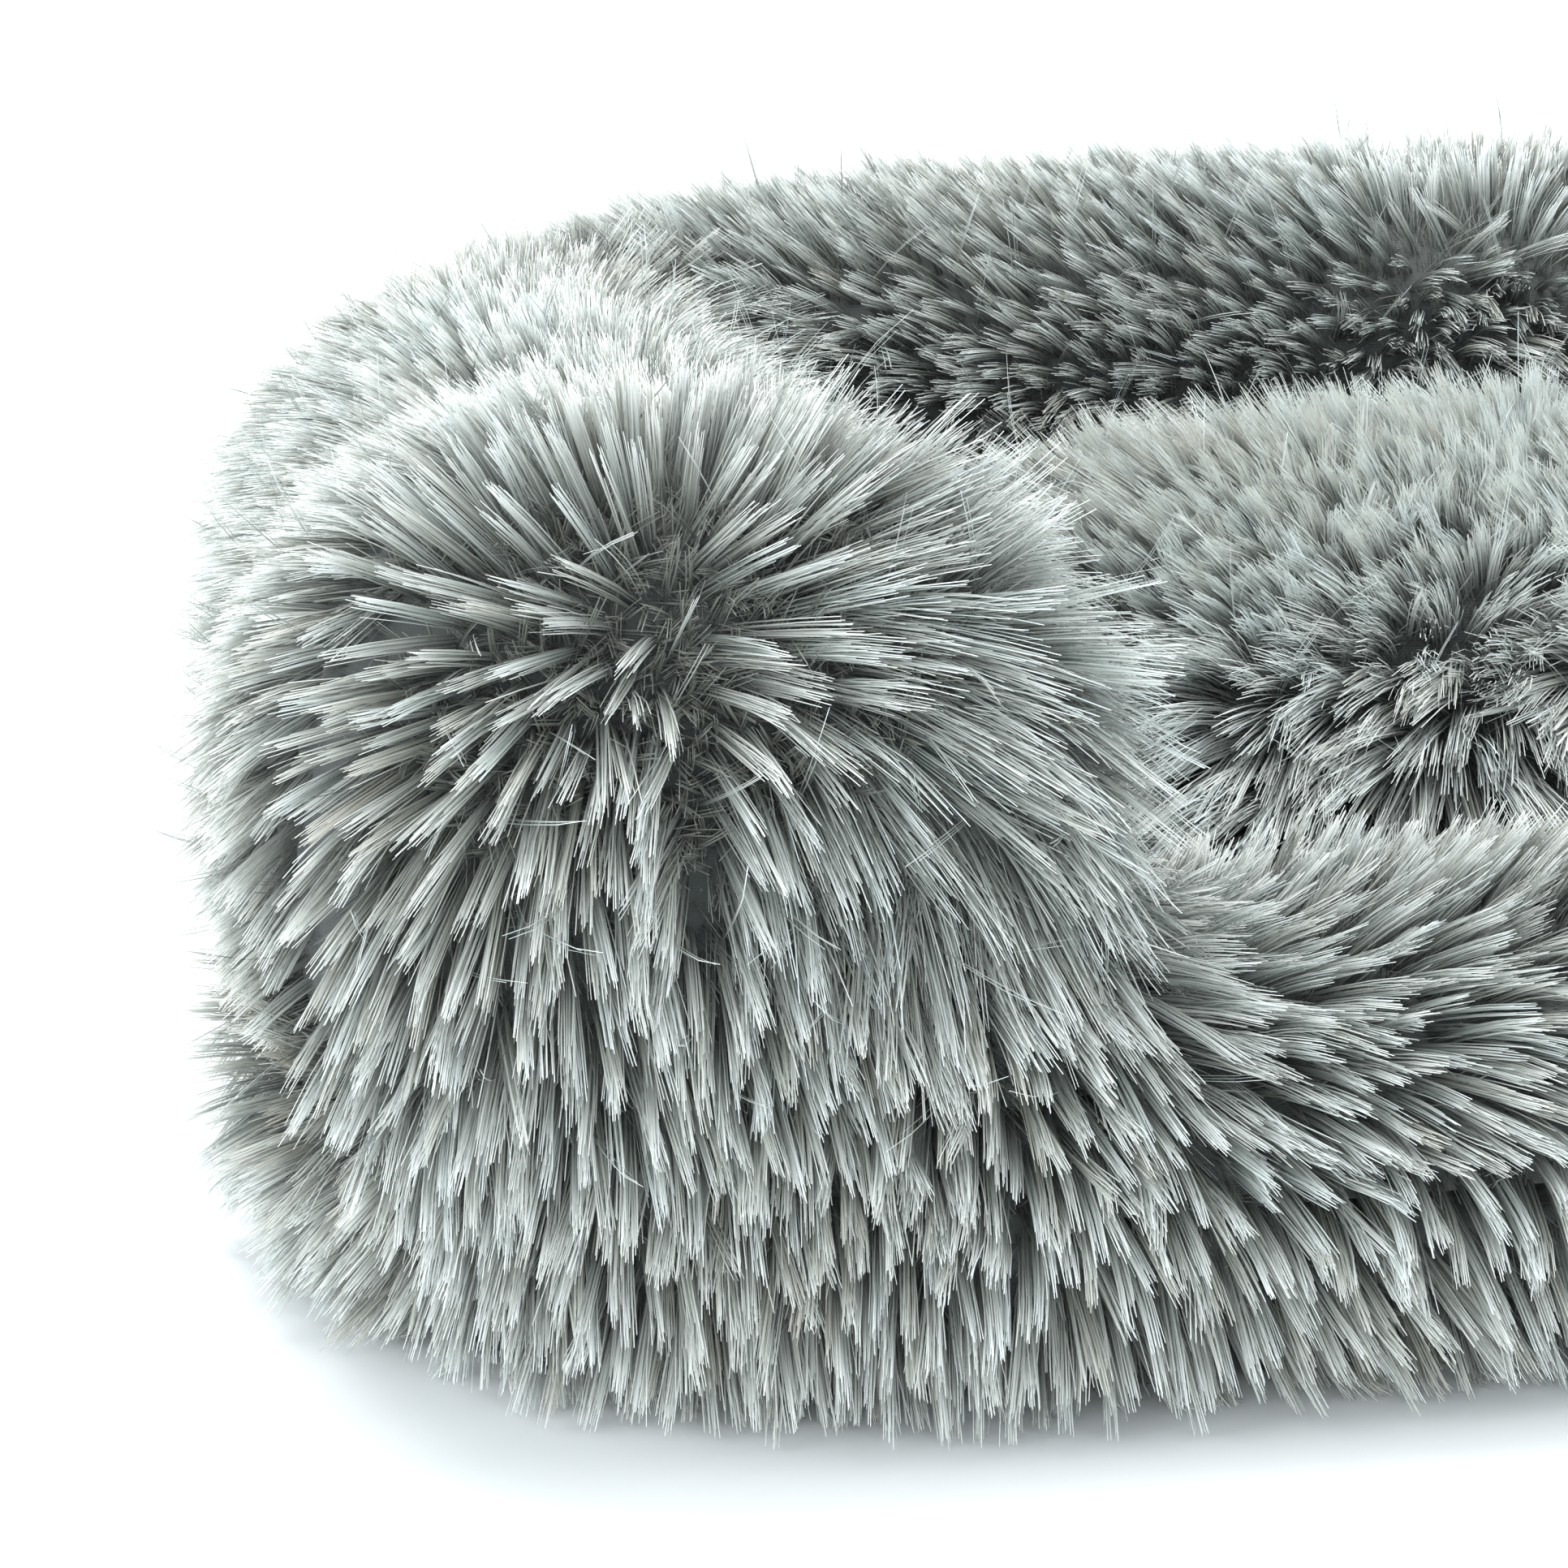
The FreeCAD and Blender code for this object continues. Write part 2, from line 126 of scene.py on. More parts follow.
def bed_fields(x, y, z):
    """Distances to the bolster ring, the front lip and the base, and to the bed that they are sewn into."""
    inset = 15.0 * smooth(-170.0, 140.0, y)
    outline = plan(x, y, HALF_WIDTH - inset, FRONT, REAR, 56.0, 185.0)
    nest = corner_distance(np.abs(x) - INNER_X, y - INNER_Y)
    top = ARM_TOP + (BACK_TOP - ARM_TOP) * (0.72 * smooth(-205.0, -70.0, y) + 0.28 * smooth(-70.0, 120.0, y))
    ring = raised(np.maximum(outline, -nest), z, BASE_TOP + 1.0, top, 32.0, 60.0)
    lip_plan = plan(x, y, INNER_X + 12.0, FRONT, LIP_HIGH[1] - 9.0, 6.0, 6.0)
    lip = raised(lip_plan, z, 40.0, LIP_TOP, 6.0, 30.0)
    foot = plan(x, y, HALF_WIDTH - 2.0 - 0.5 * inset, FRONT, REAR - 2.0, 108.0, 150.0)
    base = raised(foot, z, 5.0, BASE_TOP - 5.0, 30.0, 18.0)
    in_front = 1.0 - smooth(FRONT + 18.0, FRONT + 92.0, y)
    bed = merged(merged(ring, lip, 46.0), base, 7.0 + 53.0 * in_front)
    opening = np.maximum(np.abs(x) - 178.0, np.abs(z - BASE_ZIP_Z) - SLOT_HALF_HEIGHT)
    slot = np.maximum(opening, BASE_TAPE_LOW[1] - 0.6 - y)
    return ring, lip, base, np.maximum(bed, -slot)


def seat_field(x, y, z):
    half = SEAT_HIGH[0] - 17.0
    low, high = SEAT_LOW[1] + 8.0, SEAT_HIGH[1] - 17.0
    across = 1.0 - (x / half) ** 2
    along = 1.0 - ((y - 0.5 * (low + high)) / (0.5 * (high - low))) ** 2
    crown = 15.0 * np.clip(across, 0.0, 1.0) * np.clip(along, 0.0, 1.0) ** 0.6
    brow = 25.0 + 21.0 * (1.0 - smooth(-112.0, -30.0, y))
    outline = plan(x, y, half, low, high, 34.0, 30.0)
    body = raised(outline, z, SEAT_LOW[2] + 1.5, SEAT_HIGH[2] - 29.0 + crown, 6.0, brow)
    opening = np.maximum(np.abs(x) - 128.0, np.abs(z - SEAT_ZIP_Z) - SLOT_HALF_HEIGHT)
    slot = np.maximum(opening, SEAT_TAPE_LOW[1] - 0.6 - y)
    return np.maximum(body, -slot)


def bed_normals(points):
    """Unit normals of the sewn-together bed, the same on both sides of a seam."""
    step = 2.0
    slopes = []
    for axis in range(3):
        ahead, behind = points.copy(), points.copy()
        ahead[:, axis] += step
        behind[:, axis] -= step
        slopes.append(bed_fields(*ahead.T)[3] - bed_fields(*behind.T)[3])
    return unit(np.stack(slopes, axis=1))


SEAM_GAP = 0.3


def part_fields(x, y, z):
    """One closed field for each sewn part; together they fill the bed's form without overlapping."""
    ring, lip, base, bed = bed_fields(x, y, z)
    mitre = ((y - INNER_Y) - (np.abs(x) - INNER_X)) / math.sqrt(2.0)
    of_ring = np.maximum(0.5 * (ring - lip), 0.5 * (ring - base)) + SEAM_GAP
    fields = {}
    for name, side in (("left", x), ("right", -x)):
        arm = np.maximum(of_ring, mitre + SEAM_GAP)
        fields[name + "_arm"] = np.maximum.reduce([bed, arm, END_SEAM - y + SEAM_GAP, side])
        fields[name + "_arm_end"] = np.maximum.reduce([bed, of_ring, y - END_SEAM + SEAM_GAP, side])
    fields["back_bolster"] = np.maximum.reduce([bed, of_ring, SEAM_GAP - mitre])
    fields["front_lip"] = np.maximum.reduce([bed, 0.5 * (lip - ring) + SEAM_GAP,
                                             0.5 * (lip - base) + SEAM_GAP])
    fields["base"] = np.maximum.reduce([bed, 0.5 * (base - ring) + SEAM_GAP, 0.5 * (base - lip) + SEAM_GAP])
    return fields


CORNERS = np.array(list(product((0, 1), repeat=3)))
CELL_EDGES = [(a, b) for a in range(8) for b in range(a + 1, 8) if np.abs(CORNERS[a] - CORNERS[b]).sum() == 1]


def net_surface(values, origin, step):
    """A closed quad mesh where a gridded field is zero, one vertex in each cell that the surface crosses."""
    inside = values < 0.0
    shape = np.array(values.shape) - 1
    corner = [values[tuple(slice(c, c + n) for c, n in zip(offset, shape))] for offset in CORNERS]
    count = sum((c < 0.0).astype(int) for c in corner)
    active = (count > 0) & (count < 8)
    cells = np.argwhere(active)
    levels = np.stack([c[active] for c in corner], axis=1)
    total = np.zeros((len(cells), 3))
    crossings = np.zeros(len(cells))
    for a, b in CELL_EDGES:
        crossed = (levels[:, a] < 0.0) != (levels[:, b] < 0.0)
        gap = np.where(crossed, levels[:, a] - levels[:, b], 1.0)
        share = (levels[:, a] / gap)[:, None]
        total += np.where(crossed[:, None], CORNERS[a] + share * (CORNERS[b] - CORNERS[a]), 0.0)
        crossings += crossed
    points = origin + step * (cells + total / crossings[:, None])
    index = np.full(active.shape, -1)
    index[active] = np.arange(len(cells))
    faces = []
    for axis in range(3):
        u, v = (axis + 1) % 3, (axis + 2) % 3
        here = np.moveaxis(inside, axis, 0)
        flips = np.argwhere(np.moveaxis(here[:-1] != here[1:], 0, axis))
        flips = flips[(flips[:, u] > 0) & (flips[:, v] > 0)
                      & (flips[:, u] < shape[u]) & (flips[:, v] < shape[v])]
        around = []
        for du, dv in ((-1, -1), (0, -1), (0, 0), (-1, 0)):
            cell = flips.copy()
            cell[:, u] += du
            cell[:, v] += dv
            around.append(index[tuple(cell.T)])
        quads = np.stack(around, axis=1)
        outward = inside[tuple(flips.T)]
        faces.append(np.where(outward[:, None], quads, quads[:, ::-1]))
    return points, np.concatenate(faces)


def mesh_object(name, points, faces):
    """A smooth-shaded object from millimetre points and faces of one size."""
    mesh = bpy.data.meshes.new(name)
    sides = faces.shape[1]
    mesh.vertices.add(len(points))
    mesh.vertices.foreach_set("co", (points * MM).astype(np.float32).ravel())
    mesh.loops.add(faces.size)
    mesh.loops.foreach_set("vertex_index", faces.astype(np.int32).ravel())
    mesh.polygons.add(len(faces))
    mesh.polygons.foreach_set("loop_start", np.arange(0, faces.size, sides, dtype=np.int32))
    mesh.polygons.foreach_set("use_smooth", np.ones(len(faces), dtype=bool))
    mesh.update(calc_edges=True)
    obj = bpy.data.objects.new(name, mesh)
    bpy.context.scene.collection.objects.link(obj)
    return obj


GRID_STEP = 5.0


def grid(low, high):
    axes = [np.arange(a, b + GRID_STEP, GRID_STEP) for a, b in zip(low, high)]
    return np.array([a[0] for a in axes]), np.meshgrid(*axes, indexing="ij")


def make_forms():
    """Makes the closed forms of every stuffed part and returns them by name."""
    forms = {}
    origin, (x, y, z) = grid(BED_LOW, BED_HIGH + 8.0)
    for name, values in part_fields(x, y, z).items():
        forms[name] = mesh_object(name + "_cloth", *net_surface(values, origin, GRID_STEP))
    origin, (x, y, z) = grid(SEAT_LOW - 2.0, SEAT_HIGH + 4.0)
    surface = net_surface(seat_field(x, y, z), origin, GRID_STEP)
    forms["seat_cushion"] = mesh_object("seat_cushion_cloth", *surface)
    return forms


# ---------------------------------------------------------------- stuffing: cloth under pressure
def coordinates(mesh):
    flat = np.empty(len(mesh.vertices) * 3, np.float32)
    mesh.vertices.foreach_get("co", flat)
    return flat.reshape(-1, 3).astype(float)


def held_still(name, points):
    """Which points stay put while a form is stuffed: its sewn walls, its underside and its zip's slot."""
    x, y, z = points.T
    if name == "seat_cushion":
        slot = (y > SEAT_TAPE_LOW[1] - 6.0) & (np.abs(z - SEAT_ZIP_Z) < PINNED_HALF_HEIGHT)
        return (z < SEAT_LOW[2] + 9.0) | slot
    bed = bed_fields(x, y, z)[3]
    slot = (y > BASE_TAPE_LOW[1] - 6.0) & (np.abs(z - BASE_ZIP_Z) < PINNED_HALF_HEIGHT) & (np.abs(x) < 184.0)
    return (bed < -4.0) | (z < 10.0) | slot


STUFFING_CAP = 6.0                           # the most that stuffing moves the cloth, in millimetres
STUFFING_FRAMES = 20


def stuff(forms):
    """Swells the forms with cloth simulation and keeps the result, so that no modifier is left on them."""
    start = {}
    for name, obj in forms.items():
        start[name] = coordinates(obj.data)
        pins = obj.vertex_groups.new(name="sewn")
        pins.add([int(i) for i in np.flatnonzero(held_still(name, start[name] / MM))], 1.0, "REPLACE")
        cloth = obj.modifiers.new("stuffing", "CLOTH")
        cloth.settings.quality = 4
        cloth.settings.mass = 0.3
        cloth.settings.tension_stiffness = 12.0
        cloth.settings.compression_stiffness = 12.0
        cloth.settings.bending_stiffness = 1.5
        cloth.settings.use_pressure = True
        cloth.settings.uniform_pressure_force = 4.0
        cloth.settings.vertex_group_mass = "sewn"
        cloth.settings.effector_weights.gravity = 0.0
        cloth.collision_settings.use_collision = False
        cloth.point_cache.frame_start = 1
        cloth.point_cache.frame_end = STUFFING_FRAMES
    for step in range(1, STUFFING_FRAMES + 1):
        bpy.context.scene.frame_set(step)
    depsgraph = bpy.context.evaluated_depsgraph_get()
    for name, obj in forms.items():
        swollen = coordinates(obj.evaluated_get(depsgraph).data)
        move = swollen - start[name]
        length = np.linalg.norm(move, axis=1, keepdims=True)
        move *= np.minimum(1.0, STUFFING_CAP * MM / np.maximum(length, 1e-9))
        obj.modifiers.clear()
        obj.vertex_groups.clear()
        obj.data.vertices.foreach_set("co", (start[name] + move).astype(np.float32).ravel())
        obj.data.update()
    bpy.context.scene.frame_set(1)


# ---------------------------------------------------------------- the pile: where it grows and how it lies
def unit(vectors):
    return vectors / np.maximum(np.linalg.norm(vectors, axis=1, keepdims=True), 1e-9)


def waves(points, length, seed):
    """Smooth noise from -1 to 1 over space, a sum of plane waves about `length` millimetres long."""
    local = np.random.default_rng(seed)
    total = np.zeros(len(points))
    for _ in range(7):
        heading = unit(local.normal(size=(1, 3)))[0] * 2.0 * math.pi / (length * local.uniform(0.7, 1.5))
        total += np.sin(points @ heading + local.uniform(0.0, 2.0 * math.pi))
    return total / 3.2


def spread_roots(obj, spacing):
    """Points spread evenly at random over a form, with their normals, in millimetres."""
    mesh = obj.data
    mesh.calc_loop_triangles()
    count = len(mesh.loop_triangles)
    corners = np.empty(count * 3, np.int32)
    mesh.loop_triangles.foreach_get("vertices", corners)
    corners = corners.reshape(-1, 3)
    points = coordinates(mesh) / MM
    normals = np.empty(len(points) * 3, np.float32)
    mesh.vertex_normals.foreach_get("vector", normals)
    normals = normals.reshape(-1, 3).astype(float)
    a, b, c = (points[corners[:, i]] for i in range(3))
    area = 0.5 * np.linalg.norm(np.cross(b - a, c - a), axis=1)
    tries = int(5.0 * area.sum() / (spacing * spacing))
    chosen = rng.choice(count, size=tries, p=area / area.sum())
    s, t = rng.random(tries), rng.random(tries)
    over = s + t > 1.0
    s[over], t[over] = 1.0 - s[over], 1.0 - t[over]
    weights = np.stack([1.0 - s - t, s, t], axis=1)
    where = np.einsum("nk,nkd->nd", weights, points[corners[chosen]])
    facing = unit(np.einsum("nk,nkd->nd", weights, normals[corners[chosen]]))
    taken = {}
    keep = []
    cells = np.floor(where / spacing).astype(int)
    limit = (0.8 * spacing) ** 2
    near = list(product((-1, 0, 1), repeat=3))
    for i, (cell, p) in enumerate(zip(map(tuple, cells), where)):
        crowded = False
        for d in near:
            for q in taken.get((cell[0] + d[0], cell[1] + d[1], cell[2] + d[2]), ()):
                e = where[q] - p
                if e[0] * e[0] + e[1] * e[1] + e[2] * e[2] < limit:
                    crowded = True
                    break
            if crowded:
                break
        if not crowded:
            taken.setdefault(cell, []).append(i)
            keep.append(i)
    return where[keep], facing[keep]


def mirrored_whorl(points):
    centre = np.tile(WHORL, (len(points), 1))
    centre[:, 0] *= np.where(points[:, 0] < 0.0, -1.0, 1.0)
    return centre


def comb_bed(points):
    """How the bed's own pile grows: its direction, angle, length, looseness, raggedness and painted shading, a
    darker, browner tone painted into the crease above the base.
    """
    x, y, z = points.T
    side = np.where(x < 0.0, -1.0, 1.0)
    away = unit(points - mirrored_whorl(points))
    reach = np.linalg.norm(points - mirrored_whorl(points), axis=1)
    outer = smooth(RIDGE_X + 30.0, RIDGE_X + 55.0, np.abs(x))
    edge = END_SEAM + 8.0 - 28.0 * outer
    in_front = 1.0 - smooth(edge - 14.0 + 10.0 * outer, edge + 14.0 - 10.0 * outer, y)
    in_back = smooth(-10.0, 60.0, (y - INNER_Y) - (np.abs(x) - INNER_X))
    outside = smooth(RIDGE_X - 16.0, RIDGE_X + 34.0, np.abs(x))
    inward = 1.0 - smooth(RIDGE_X - 46.0, RIDGE_X - 8.0, np.abs(x))
    on_lip = 1.0 - smooth(INNER_X - 55.0, INNER_X + 5.0, np.abs(x))

    aside = (np.abs(x) - RIDGE_X) * side
    below = smooth(WHORL[2] + 4.0, WHORL[2] - 12.0, z)
    above = z - WHORL[2] - 9.0
    front = away.copy()
    front[:, 0] += 0.7 * np.sign(aside) * np.exp(-(aside / 7.0) ** 2) * below * smooth(80.0, 125.0, z)
    beside = smooth(16.0, 30.0, np.abs(aside))
    front[:, 2] += 0.7 * np.sign(above) * np.exp(-(above / 7.0) ** 2) * (1.0 - beside)
    front[:, 0] *= smooth(0.0, 130.0, np.abs(x))
    front[:, 2] -= 1.5 * (1.0 - smooth(70.0, 165.0, z)) * (1.0 - 0.45 * on_lip * smooth(60.0, 72.0, z))
    front[:, 1] -= 0.35 * on_lip * smooth(62.0, 76.0, z)

    arm = np.zeros_like(points)
    arm[:, 1] = 0.75 - 0.55 * outside - 0.5 * inward
    arm[:, 0] = side * (0.55 * outside - 0.6 * inward)
    arm[:, 2] = -0.9 * outside - 0.6 * inward

    back = np.zeros_like(points)
    behind = smooth(INNER_Y + 6.0, INNER_Y + 90.0, y)
    rear = smooth(REAR - 70.0, REAR - 10.0, y)
    back[:, 0] = side * 0.75 * (1.0 - rear) * smooth(0.0, 60.0, np.abs(x))
    back[:, 1] = 0.65 * behind * (1.0 - rear)
    back[:, 2] = -(0.45 + 0.6 * (1.0 - smooth(0.0, 60.0, np.abs(x)))) * (1.0 - behind) - 1.0 * rear

    tail = arm * (1.0 - in_back)[:, None] + back * in_back[:, None]
    flank = (1.0 - in_front) * np.maximum(outside, rear)
    crease = flank * np.exp(-((z - BASE_TOP - 6.0) / 20.0) ** 2)
    tail[:, 2] += 0.9 * crease * (z > BASE_TOP)
    tail[:, :2] += 0.5 * crease[:, None] * unit(points * (1.0, 1.0, 0.0))[:, :2]
    lie = front * in_front[:, None] + tail * (1.0 - in_front)[:, None]
    drift = np.stack([waves(points, 85.0, seed) for seed in (3, 4, 5)], axis=1)
    tuft = np.stack([waves(points, 24.0, seed) for seed in (6, 7, 8)], axis=1)
    lie = unit(lie) + 0.14 * drift + 0.20 * tuft

    inner_face = in_back * (1.0 - smooth(INNER_Y + 4.0, INNER_Y + 26.0, y))
    silky = 1.0 - smooth(RIDGE_X - 34.0, RIDGE_X + 4.0, np.abs(x))
    silky *= (1.0 - on_lip) * smooth(90.0, 120.0, z) * (1.0 - in_back)
    at_base = 1.0 - smooth(BASE_TOP - 14.0, BASE_TOP - 2.0, z)
    rise = 40.0 + 14.0 * inner_face - 6.0 * in_front * (1.0 - smooth(8.0, 34.0, reach)) + 12.0 * crease
    rise += -6.0 * flank * (1.0 - at_base) - 14.0 * silky
    length = 26.0 - 5.0 * (1.0 - in_front) * (1.0 - at_base) - 6.0 * crease * (1.0 - at_base) + 3.0 * silky
    low = 1.0 - smooth(8.0, 26.0, z)
    length -= 3.0 * low * (1.0 - in_front)
    rise -= 10.0 * low
    over_zip = np.exp(-((z - 44.0) / 6.0) ** 2) * (y > 200.0) * (np.abs(x) < 186.0)
    lie[:, 2] -= over_zip
    length += 4.0 * over_zip
    rise += 14.0 * over_zip
    loose = 1.0 + 0.8 * silky + 0.15 * flank + 0.35 * inner_face
    # painted shade: locks in the crease above the base get a lower, darker and browner tone
    painted_shading = 0.6 * crease
    ragged = 0.30 + 0.30 * silky
    return lie, rise, length, loose, ragged, painted_shading


def comb_seat(points):
    """The same on the seat cushion, whose pile leans forward in tufts and fans out over its front edge."""
    x, y, z = points.T
    middle = 0.5 * (SEAT_LOW[1] + SEAT_HIGH[1])
    along = (y - middle) / (SEAT_HIGH[1] - middle)
    outwards = np.stack([x / SEAT_HIGH[0], along, np.zeros(len(points))], axis=1)
    swirl = np.stack([waves(points, 95.0, seed) for seed in (13, 14, 15)], axis=1)
    tuft = np.stack([waves(points, 26.0, seed) for seed in (16, 17, 18)], axis=1)
    rim = smooth(0.35, 1.0, np.linalg.norm(outwards[:, :2], axis=1))
    forward = 1.0 - smooth(SEAT_HIGH[1] - 62.0, SEAT_HIGH[1] - 18.0, y)
    lie = (0.25 + 0.6 * rim)[:, None] * outwards + 0.26 * swirl + 0.34 * tuft
    lie[:, :2] += forward[:, None] * np.array([-0.35, -0.55])
    flank = 1.0 - smooth(74.0, 98.0, z)
    at_front = smooth(-84.0, -116.0, y)
    lie[:, 2] += flank * (0.9 - 3.0 * at_front)
    rise = 54.0 - 6.0 * forward - 4.0 * flank - 12.0 * at_front * (1.0 - 0.5 * flank)
    length = 23.0 + 11.0 * at_front - 5.0 * flank * (1.0 - at_front)
    loose = 1.35 + 0.5 * at_front
    ragged = np.full(len(points), 0.34)
    # a small negative painted shading: the seat's locks a shade lighter, painted light on its upturned top
    return lie, rise, length, loose, ragged, -0.06


def free_of_slots(name, points):
    x, y, z = points.T
    if name == "base":
        return ~((y > 200.0) & (np.abs(z - BASE_ZIP_Z) < SLOT_HALF_HEIGHT) & (np.abs(x) < 181.0))
    if name == "seat_cushion":
        return ~((y > 30.0) & (np.abs(z - SEAT_ZIP_Z) < SLOT_HALF_HEIGHT) & (np.abs(x) < 131.0))
    return np.ones(len(points), dtype=bool)


def covered(name, points, normals):
    """Where a form carries pile: its outer side only, not its sewn walls, its underside or the lined nest."""
    x, y, z = points.T
    keep = free_of_slots(name, points)
    if name == "seat_cushion":
        return keep & ~((normals[:, 2] < -0.55) & (z < SEAT_LOW[2] + 14.0))
    keep &= bed_fields(x, y, z)[3] > -3.0
    keep &= ~((normals[:, 2] < -0.5) & (z < 14.0))
    if name == "base":
        nest = (np.abs(x) < INNER_X + 8.0) & (y < INNER_Y + 8.0) & (y > LIP_HIGH[1] - 24.0)
        keep &= ~(nest & (z > BASE_TOP - 16.0))
    seam = (np.abs(y - END_SEAM + 18.0) < 5.5) & (np.abs(x) > RIDGE_X + 34.0)
    keep &= ~(seam & (z > BASE_TOP) & (z < WHORL[2] - 10.0))
    keep &= ~((np.abs(z - BASE_TOP) < 5.0) & (y > END_SEAM - 20.0) & (np.abs(x) > RIDGE_X))
    if name == "front_lip":
        keep &= ~((y > LIP_HIGH[1] - 22.0) & (normals[:, 1] > 0.6))
    return keep


ROOT_DEPTH = 2.5                             # how far a lock starts below the cloth
FREE_MARGIN = 8.0                            # pile may stand this far out of the part's box
PRESSED = 0.65                               # and is pressed back by this share of what is beyond it


def grow_locks(roots, normals, lie, rise, length, tone, spread, ragged, blades, segments, width, painted_light_scale=1.0):
    """Returns points, triangles and (tone, height) pairs of locks, each a bundle of thin tapering blades."""
    count = len(roots)
    lie = lie - normals * np.einsum("nd,nd->n", lie, normals)[:, None]
    lie = unit(lie)
    turn = rng.normal(0.0, 0.13, count)
    across = np.cross(normals, lie)
    lie = unit(lie * np.cos(turn)[:, None] + across * np.sin(turn)[:, None])
    across = np.cross(normals, lie)
    length = length * rng.uniform(0.84, 1.16, count)
    steep = np.radians(np.clip(rise + rng.normal(0.0, 7.0, count), 12.0, 88.0))
    bend = rng.uniform(0.55, 1.0, count)
    spine = [roots - ROOT_DEPTH * normals]
    ups = []
    steps = length / segments
    stations = np.linspace(0.0, 1.0, segments + 1)
    for k in range(segments + 1):
        angle = steep * (1.25 - bend * 0.62 * stations[k])
        heading = lie * np.cos(angle)[:, None] + normals * np.sin(angle)[:, None]
        ups.append(normals * np.cos(angle)[:, None] - lie * np.sin(angle)[:, None])
        if k < segments:
            spine.append(spine[-1] + heading * (steps + (ROOT_DEPTH if k == 0 else 0.0))[:, None])
    around = rng.uniform(0.0, 2.0 * math.pi, (count, blades))
    radius = spread[:, None] * np.sqrt(rng.random((count, blades)))
    end_turn = around + rng.normal(0.0, 0.5, (count, blades))
    end_radius = radius * rng.uniform(0.65, 1.15, (count, blades))
    radius = 0.75 * radius
    reach = 1.06 - ragged[:, None] * rng.random((count, blades))
    stray = rng.random((count, blades)) < 0.05
    end_radius = np.where(stray, end_radius * 2.6, end_radius)
    roll = rng.normal(0.0, 0.75, (count, blades))
    points = np.empty((count, blades, 2 * segments + 2, 3))
    path = np.stack(spine, axis=1)
    rows = np.arange(count)[:, None]
    for k, s in enumerate(stations):
        angle = around * (1.0 - s) + end_turn * s
        size = radius * (1.0 - s) + end_radius * s
        drawn = s * reach * segments
        low = np.minimum(drawn.astype(int), segments - 1)
        share = (drawn - low)[..., None]
        centre = path[rows, low] * (1.0 - share) + path[rows, low + 1] * share
        offset = (across[:, None] * (np.cos(angle) * size)[..., None]
                  + ups[k][:, None] * (np.sin(angle) * size)[..., None])
        centre = centre + offset
        flat = across[:, None] * np.cos(roll)[..., None] + ups[k][:, None] * np.sin(roll)[..., None]
        half = 0.5 * width * (1.0 - 0.5 * s ** 4)
        points[:, :, 2 * k] = centre - flat * half
        points[:, :, 2 * k + 1] = centre + flat * half
    points[..., 2] = np.maximum(points[..., 2], 0.6 + 1.2 * rng.random((count, blades, 1)))
    points -= PRESSED * np.maximum(points - (BED_HIGH + FREE_MARGIN), 0.0)
    points += PRESSED * np.maximum((BED_LOW - FREE_MARGIN) - points, 0.0)
    each = 2 * segments + 2
    pattern = []
    for k in range(segments):
        pattern += [(2 * k, 2 * k + 1, 2 * k + 3), (2 * k, 2 * k + 3, 2 * k + 2)]
    pattern = np.array(pattern)
    total = count * blades
    triangles = (np.arange(total)[:, None, None] * each + pattern).reshape(-1, 3)
    tones = np.clip(tone[:, None] + rng.normal(0.0, 0.05, (count, blades)), 0.01, 0.99)
    pairs = np.empty((count, blades, each, 2))
    for k, s in enumerate(stations):
        # the height along a blade picks its colour on the pile's ramp; the scale stretches it: above 1 more of
        # each lock is light (painted light on the seat), below 1 more is dark (painted shade in the underfur
        # and whorl)
        height = np.minimum(painted_light_scale * s * reach / 1.06, 1.0)
        pairs[:, :, 2 * k, 0] = tones - 0.002
        pairs[:, :, 2 * k + 1, 0] = tones + 0.002
        pairs[:, :, 2 * k:2 * k + 2, 1] = height[..., None]
    return points.reshape(-1, 3), triangles, pairs.reshape(-1, 2)


def pile_object(name, points, triangles, pairs, material):
    """Pile with its tone and height as a map, twice over: for the material, and for baking the colours."""
    obj = mesh_object(name, points, triangles)
    for layer_name in ("lock", "OFBake"):
        layer = obj.data.uv_layers.new(name=layer_name)
        layer.uv.foreach_set("vector", pairs[triangles.ravel()].astype(np.float32).ravel())
    obj.data.materials.append(material)
    return obj


# ---------------------------------------------------------------- materials
def node_material(name, roughness, **inputs):
    """A material with one Principled shader; constants are set on the shader's own sockets."""
    material = bpy.data.materials.new(name)
    material.use_nodes = True
    shader = material.node_tree.nodes["Principled BSDF"]
    shader.inputs["Roughness"].default_value = roughness
    for label, value in inputs.items():
        shader.inputs[label.replace("_", " ")].default_value = value
    return material, material.node_tree.nodes, material.node_tree.links, shader


def ramp(nodes, stops):
    node = nodes.new("ShaderNodeValToRGB")
    element = node.color_ramp.elements
    while len(element) < len(stops):
        element.new(0.5)
    for e, (position, colour) in zip(element, stops):
        e.position = position
        e.color = (*colour, 1.0)
    return node


def mixed(nodes, links, blend_type, factor, a, b):
    node = nodes.new("ShaderNodeMix")
    node.data_type = "RGBA"
    node.blend_type = blend_type
    node.inputs["Factor"].default_value = factor
    links.new(a, node.inputs["A"])
    links.new(b, node.inputs["B"])
    return node.outputs["Result"]


